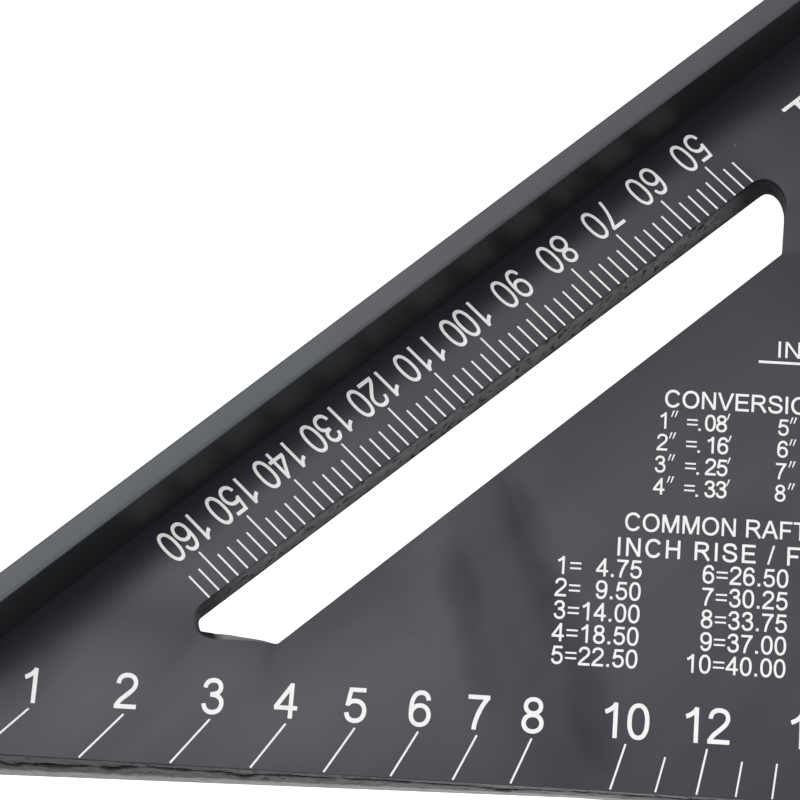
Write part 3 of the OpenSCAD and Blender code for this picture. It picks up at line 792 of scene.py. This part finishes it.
def contours(field, x0, y0, st):
    """Closed zero contours of a grid field by marching squares."""
    H_, W_ = field.shape
    ins = field < 0
    nxt = {}

    def pt(i, j, k):
        # k 0: edge (i,j)-(i,j+1) along x; k 1: edge (i,j)-(i+1,j) along y
        a = field[i, j]
        b = field[i, j + 1] if k == 0 else field[i + 1, j]
        t = a / (a - b)
        return (x0 + (j + (t if k == 0 else 0)) * st, y0 + (i + (t if k == 1 else 0)) * st)

    code = ins[:-1, :-1] * 1 + ins[:-1, 1:] * 2 + ins[1:, 1:] * 4 + ins[1:, :-1] * 8
    E = {1: [(3, 0)], 2: [(0, 1)], 3: [(3, 1)], 4: [(1, 2)], 5: [(3, 2), (1, 0)], 6: [(0, 2)], 7: [(3, 2)], 8: [(2, 3)], 9: [(2, 0)],
         10: [(0, 3), (2, 1)], 11: [(2, 1)], 12: [(1, 3)], 13: [(1, 0)], 14: [(0, 3)]}
    for i, j in zip(*np.nonzero((code > 0) & (code < 15))):
        edge = {0: (i, j, 0), 1: (i, j + 1, 1), 2: (i + 1, j, 0), 3: (i, j, 1)}
        for a, b in E[int(code[i, j])]:
            nxt[edge[a]] = edge[b]
    loops = []
    while nxt:
        s = next(iter(nxt))
        lp, k = [], s
        while k in nxt:
            lp.append(pt(*k))
            k = nxt.pop(k)
        if len(lp) > 5:
            loops.append(lp)
    return loops


def simplify(lp, tol):
    """Drops points of a closed loop that lie within tol of the chord (Douglas-Peucker)."""
    a = np.array(lp)
    n = len(a)
    i0 = 0
    i1 = int(np.argmax(((a - a[0]) ** 2).sum(1)))
    keep = np.zeros(n, bool)
    keep[i0] = keep[i1] = True
    for s, e in ((i0, i1), (i1, n)):
        stack = [(s, e)]
        while stack:
            s_, e_ = stack.pop()
            if e_ - s_ < 2:
                continue
            p, q = a[s_], a[e_ % n]
            d = q - p
            L = math.hypot(*d) or 1e-9
            seg = a[s_ + 1:e_]
            dist = np.abs(d[0] * (seg[:, 1] - p[1]) - d[1] * (seg[:, 0] - p[0])) / L
            k = int(np.argmax(dist))
            if dist[k] > tol:
                keep[s_ + 1 + k] = True
                stack += [(s_, s_ + 1 + k), (s_ + 1 + k, e_)]
    return [tuple(v) for v in a[keep]]


_cache = {}


def glyph_mesh(ch, weight=0.0):
    """(vertices, triangles, boundary loops) of one glyph on a cap height of 1, its strokes weight thicker."""
    key = (ch, weight)
    if key in _cache:
        return _cache[key]
    shapes = GLYPHS[ch][1]
    if not shapes:
        _cache[key] = ([], [], [])
        return _cache[key]
    allp = [q for sh in shapes for lp in sh for q in lp]
    st = 0.011
    x0, x1 = min(q[0] for q in allp) - 0.05, max(q[0] for q in allp) + 0.05
    y0, y1 = min(q[1] for q in allp) - 0.05, max(q[1] for q in allp) + 0.05
    gx, gy = np.arange(x0, x1, st), np.arange(y0, y1, st)
    px, py = np.meshgrid(gx, gy)
    f = np.full(px.shape, 1e9)
    for sh in shapes:
        f = np.minimum(f, sd_loops(px, py, sh))
    f += 1e-6 - weight / 2
    loops = [simplify(lp, 0.0022) for lp in contours(f, x0, y0, st)]
    bm = bmesh.new()
    vl = []
    for lp in loops:
        vs = [bm.verts.new((x, y, 0)) for x, y in lp]
        vl.append(vs)
        for i in range(len(vs)):
            bm.edges.new((vs[i], vs[(i + 1) % len(vs)]))
    bmesh.ops.triangle_fill(bm, edges=bm.edges[:], use_beauty=True, use_dissolve=False)
    bm.verts.index_update()
    V = [(v.co.x, v.co.y) for v in bm.verts]
    F = []
    for fc in bm.faces:
        ids = [v.index for v in fc.verts]
        if fc.normal.z < 0:
            ids.reverse()
        F.append(ids)
    B = [[v.index for v in vs] for vs in vl]
    bm.free()
    _cache[key] = (V, F, B)
    return _cache[key]


INK = 0.06      # thickness of the film, mm


class Print:
    """Collects flat print in the drawing's plane and builds it as one thin closed solid."""

    def __init__(self, back=False):
        self.V, self.F, self.B = [], [], []
        self.back = back

    def glyph(self, ch, to_xy, weight=0.0):
        V, F, B = glyph_mesh(ch, weight)
        o = len(self.V)
        self.V += [to_xy(x, y) for x, y in V]
        self.F += [[i + o for i in f] for f in F]
        self.B += [[i + o for i in b] for b in B]

    def poly(self, pts):
        o = len(self.V)
        self.V += pts
        self.F.append(list(range(o, o + len(pts))))
        self.B.append(list(range(o, o + len(pts))))

    def build(self, name):
        bm = bmesh.new()
        z0, z1 = (-T + 0.001, -T - INK) if self.back else (-0.001, INK)
        lo = [bm.verts.new(row(x, y, z0)) for x, y in self.V]
        hi = [bm.verts.new(row(x, y, z1)) for x, y in self.V]
        for f in self.F:
            bm.faces.new([hi[i] for i in f])
            bm.faces.new([lo[i] for i in reversed(f)])
        for b in self.B:
            for i in range(len(b)):
                j = (i + 1) % len(b)
                bm.faces.new((lo[b[i]], lo[b[j]], hi[b[j]], hi[b[i]]))
        bmesh.ops.recalc_face_normals(bm, faces=bm.faces)
        return make_obj(name, bm, [M_INK], None)


def text_width(s, ex, track=0.0):
    return sum(GLYPHS[c][0] * ex + track for c in s) - track


def ink_box(s, ex, track=0.0):
    """Left and right of the ink of s set from 0."""
    x, lo, hi = 0.0, 1e9, -1e9
    for c in s:
        V = glyph_mesh(c)[0]
        if V:
            lo, hi = min(lo, x + min(v[0] for v in V) * ex), max(hi, x + max(v[0] for v in V) * ex)
        x += GLYPHS[c][0] * ex + track
    return lo, hi


def write(pr, s, frame_fn, u, v, ex, ey, track=0.0, centre=False, weight=0.0):
    """Sets s with its origin at u, v (or its ink centred on u) in the frame frame_fn."""
    if centre:
        lo, hi = ink_box(s, ex, track)
        u -= (lo + hi) / 2
    for c in s:
        pr.glyph(c, lambda x, y, u=u: frame_fn(u + x * ex, v + y * ey), weight)
        u += GLYPHS[c][0] * ex + track
    return u


HYP = lambda u, v: ((-u - v) / S2, (u - v) / S2)     # along the hypotenuse, reading away from the fence
XY = lambda x, y: (x, y)
LEGR = lambda u, v: (v, -u)                          # along the free leg, reading towards the fence
REV = lambda u, v: (-u, -v)                          # upside down, read from the fence side

pieces = []


def done(ob, *nodes):
    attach(ob, "root")
    if nodes:
        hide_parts(*nodes)
    pieces.append(ob)
    return ob


body = blade()
done(body, "blade")
bar = fence()
done(bar, "fence_rail")

# slot scale
pr = Print()
for n in range(50, 161, 10):
    if n < 100:
        write(pr, str(n), XY, n - 0.05, 1.31, 4.08, 5.82, 0.0, True, -0.008)
    else:
        write(pr, str(n), XY, n, 1.31, 4.0, 5.82, -0.2, True, 0.0)
ob = done(pr.build("slot_scale_figures"), "slot_scale_numerals")

# hip and valley scale; the figures' own uneven setting is kept
SHIFT = {1: -0.52, 2: -0.1, 3: 0.32, 4: -0.18, 5: -0.14, 7: 0.05, 8: 0.2, 12: -0.22}
pr = Print()
for n in (1, 2, 3, 4, 5, 6, 7, 8, 10, 12, 15, 20, 25, 30):
    t = math.atan(n / 16.97)
    k = math.cos(t) + math.sin(t)
    u = 209.2 / k * (math.sin(t) - math.cos(t)) / S2 + SHIFT.get(n, 0.0)
    write(pr, str(n), HYP, u, -147.09, 5.2, 6.10, -0.06, True, 0.008)
ob = done(pr.build("hip_valley_figures"), "hip_valley_numerals")

# tables
pr = Print()
EX, EY = 2.80, 2.98
for n in range(1, 13):
    c, r = divmod(n - 1, 4)
    u0, v0 = -35.75 + 19.4 * c, -91.2 - 4.05 * r
    write(pr, str(n), HYP, u0 - (2.1 if n > 9 else 0.0) - (0.17 if r > 1 else 0.0) + (0.15 if n == 1 else 0.0), v0, EX * 0.92, EY, 0.0, False, 0.012)
    write(pr, '"', HYP, u0 + 1.95 + (0.2 if n == 1 else 0), v0, EX, EY)
    sh = 0.35 if r == 0 else 0.0
    write(pr, "=", HYP, u0 + 4.6, v0 - 0.02, EX * 0.95, EY)
    f = 100 * n // 12
    if f > 99:
        write(pr, "1", HYP, u0 + 5.9, v0, EX * 0.92, EY, 0.0, False, 0.02)
    write(pr, ".", HYP, u0 + 6.35, v0 - 0.05, EX, EY)
    write(pr, "%02d" % (f % 100), HYP, u0 + 7.95 - sh, v0, EX * 0.92, EY, -0.18, False, 0.022)
    write(pr, "'", HYP, u0 + 11.5 - sh, v0, EX, EY)
ob = done(pr.build("conversion_table_print"), "conversion_table")

pr = Print()
ANG = [4.75, 9.5, 14, 18.5, 22.5, 26.5, 30.25, 33.75, 37, 40, 42.5, 45, 47.25, 49.5, 51.25, 53.25, 54.75, 56.25, 57.75, 59]
EX, EY = 2.735, 3.20
for n in range(1, 21):
    c, r = divmod(n - 1, 5)
    u0, v0 = -50.79 + 23.3 * c, -118.76 - 4.0 * r - (0.14 if c else 0.0)
    if n > 9:
        write(pr, str(n)[0], HYP, u0 - 0.777 * EX, v0, EX, EY, 0.0, False, 0.014)
    u = write(pr, str(n)[-1], HYP, u0, v0, EX, EY, 0.0, False, 0.014)
    u = write(pr, "=", HYP, u - 0.02, v0, EX, EY)
    a = "%.2f" % ANG[n - 1]
    if len(a) < 5:
        u += 0.777 * EX
    write(pr, a, HYP, u - 0.02, v0, EX, EY, 0.0, False, 0.014)
ob = done(pr.build("rise_angle_table_print"), "rise_angle_table")

# hip and valley marks
OFF = {1: -0.22, 2: -0.06, 3: 0.22, 4: 0.11, 5: 0.06, 7: 0.07, 8: 0.24, 12: -0.14, 13: -0.15, 14: -0.20}      # the print's own uneven register
pr = Print()
for n in (1, 2, 3, 4, 5, 6, 7, 8, 10, 11, 12, 13, 14, 15, 16, 17, 18, 19, 20, 25, 30):
    t = math.atan(n / 16.97)
    c, q = math.cos(t), math.sin(t)
    k = c + q
    long_ = n not in (11, 13, 14, 16, 17, 18, 19)
    r0, r1, hw = (209.4 if long_ else 212.0) / k, (LEG - 0.5) / k, 0.157 if long_ else 0.142
    d = OFF.get(n, 0.0) / S2
    pr.poly([(r * c - w_ * q - d, r * q + w_ * c + d) for r, w_ in ((r0, -hw), (r1, -hw), (r1, hw), (r0, hw))])
ob = done(pr.build("hip_valley_ticks"), "hip_valley_marks")

# headings
pr = Print()
write(pr, "INCHES", HYP, -17.0, -76.72, 3.12, 3.02)
pr.poly([HYP(-19.72, -77.92), HYP(3.5, -77.92), HYP(3.5, -77.46), HYP(-19.72, -77.46)])
ob = done(pr.build("inches_heading"), "heading_rule")
pr = Print()
write(pr, "CONVERSION TO FEET", HYP, -34.80, -87.15, 2.80, 3.16, 0.0, False, 0.018)
write(pr, "COMMON RAFTER ANGLES", HYP, -40.25, -110.22, 2.785, 3.20, 0.0, False, 0.014)
write(pr, "INCH RISE / FOOT RUN", HYP, -41.40, -114.84, 2.81, 3.25, 0.33, False, 0.024)
ob = done(pr.build("table_headings"))

# word beside the pivot, read from the fence side
pr = Print()
write(pr, "TOP", REV, -32.9, -13.53, 7.3, 5.6)
ob = done(pr.build("pivot_word"))

# free leg rule
pr = Print()
for n in range(10, 201, 10):
    write(pr, str(n), LEGR, -(n - GAP), 8.6, 2.6, 3.4, 0.0, True)
ob = done(pr.build("leg_rule_figures"), "leg_rule_numerals")

# back face
BHYP = lambda u, v: ((u - v) / S2, (-u - v) / S2)    # along the hypotenuse, seen from the back


def back_print(name, node, marks, s_in, s_base, ex, ey):
    pr = Print(back=True)
    for n, ang in marks:
        k = math.cos(ang) + math.sin(ang)
        u = -s_in / k * (math.sin(ang) - math.cos(ang)) / S2
        write(pr, str(n), BHYP, u, -s_base / S2, ex, ey, 0.0, True)
    ob = done(pr.build(name), node)


back_print("common_rafter_figures", "common_rafter_numerals",
           [(n, math.atan(n / 12.0)) for n in (1, 2, 3, 4, 5, 6, 7, 8, 10, 12, 14, 18, 24, 30)], 194.4, 197.0, 2.7, 3.6)
back_print("degree_figures", "degree_numerals", [(a, math.radians(a)) for a in range(10, 90, 10)], 207.3, 209.9, 2.7, 3.6)

pr = Print(back=True)
for a in range(2, 89):
    c, q = math.cos(math.radians(a)), math.sin(math.radians(a))
    r0, r1 = (211.5 if a % 10 == 0 else 213.5 if a % 5 == 0 else 215.5) / (c + q), (LEG - 2.9) / (c + q)
    pr.poly([(r * c - w_ * q, r * q + w_ * c) for r, w_ in ((r0, -0.18), (r1, -0.18), (r1, 0.18), (r0, 0.18))])
ob = done(pr.build("degree_ticks"), "degree_marks")

# marks keep their CAD shape
for name in ("slot_scale_marks", "leg_rule_marks", "common_rafter_marks"):
    o = N[name]
    if not o.material_slots:
        o.data.materials.append(M_INK)
    for s in o.material_slots:
        s.material = M_INK

# ---------------------------------------------------------------- stage and light
mt, nt, out = new_mat("floor_white")
em = add(nt, "ShaderNodeEmission")
em.inputs["Color"].default_value = (1, 1, 1, 1)
em.inputs["Strength"].default_value = 1.0
df = add(nt, "ShaderNodeBsdfDiffuse")
df.inputs["Color"].default_value = (0.8, 0.8, 0.8, 1)
mx = add(nt, "ShaderNodeAddShader")
nt.links.new(em.outputs[0], mx.inputs[0])
nt.links.new(df.outputs[0], mx.inputs[1])
nt.links.new(mx.outputs[0], out.inputs[0])
bm = bmesh.new()
bmesh.ops.create_grid(bm, x_segments=8, y_segments=8, size=3.0)
floor = make_obj("floor", bm, [mt], None)
floor.location = (0, 0, -0.0002)

# soft studio surround: even pale light with a broad glow behind the fence
w = bpy.data.worlds.new("studio")
bpy.context.scene.world = w
w.use_nodes = True
nt = w.node_tree
bg = nt.nodes["Background"]
tc = add(nt, "ShaderNodeTexCoord")
dt = add(nt, "ShaderNodeVectorMath", operation="DOT_PRODUCT")
nt.links.new(tc.outputs["Generated"], dt.inputs[0])
dt.inputs[1].default_value = Vector((-0.12, -0.35, 0.92)).normalized()
gl = add(nt, "ShaderNodeMapRange", interpolation_type="SMOOTHSTEP")
for i, v in enumerate((0.91, 1.0, 0.0, 1.0)):
    gl.inputs[i + 1].default_value = v
nt.links.new(dt.outputs["Value"], gl.inputs[0])
st = maprange(nt, gl.outputs[0], 0.0, 1.0, 0.66, 3.7)
nt.links.new(st, bg.inputs["Strength"])
bg.inputs["Color"].default_value = (1.0, 0.985, 1.02, 1)


def area(name, loc, target, size, power, size_y=None):
    d = bpy.data.lights.new(name, "AREA")
    d.shape = "RECTANGLE"
    d.size, d.size_y = size, size_y or size
    d.energy = power
    o = bpy.data.objects.new(name, d)
    bpy.context.scene.collection.objects.link(o)
    o.location = loc
    o.rotation_euler = (Vector(target) - Vector(loc)).to_track_quat("-Z", "Y").to_euler()
    o.visible_camera = False
    return o


area("key", (0.35, 1.15, 1.25), (0, 0, 0), 0.9, 16.0)

bpy.context.scene.view_settings.view_transform = "Standard"
bpy.context.scene.view_settings.look = "None"
bpy.context.scene.view_settings.exposure = 0.0
bpy.context.scene.view_settings.gamma = 1.0
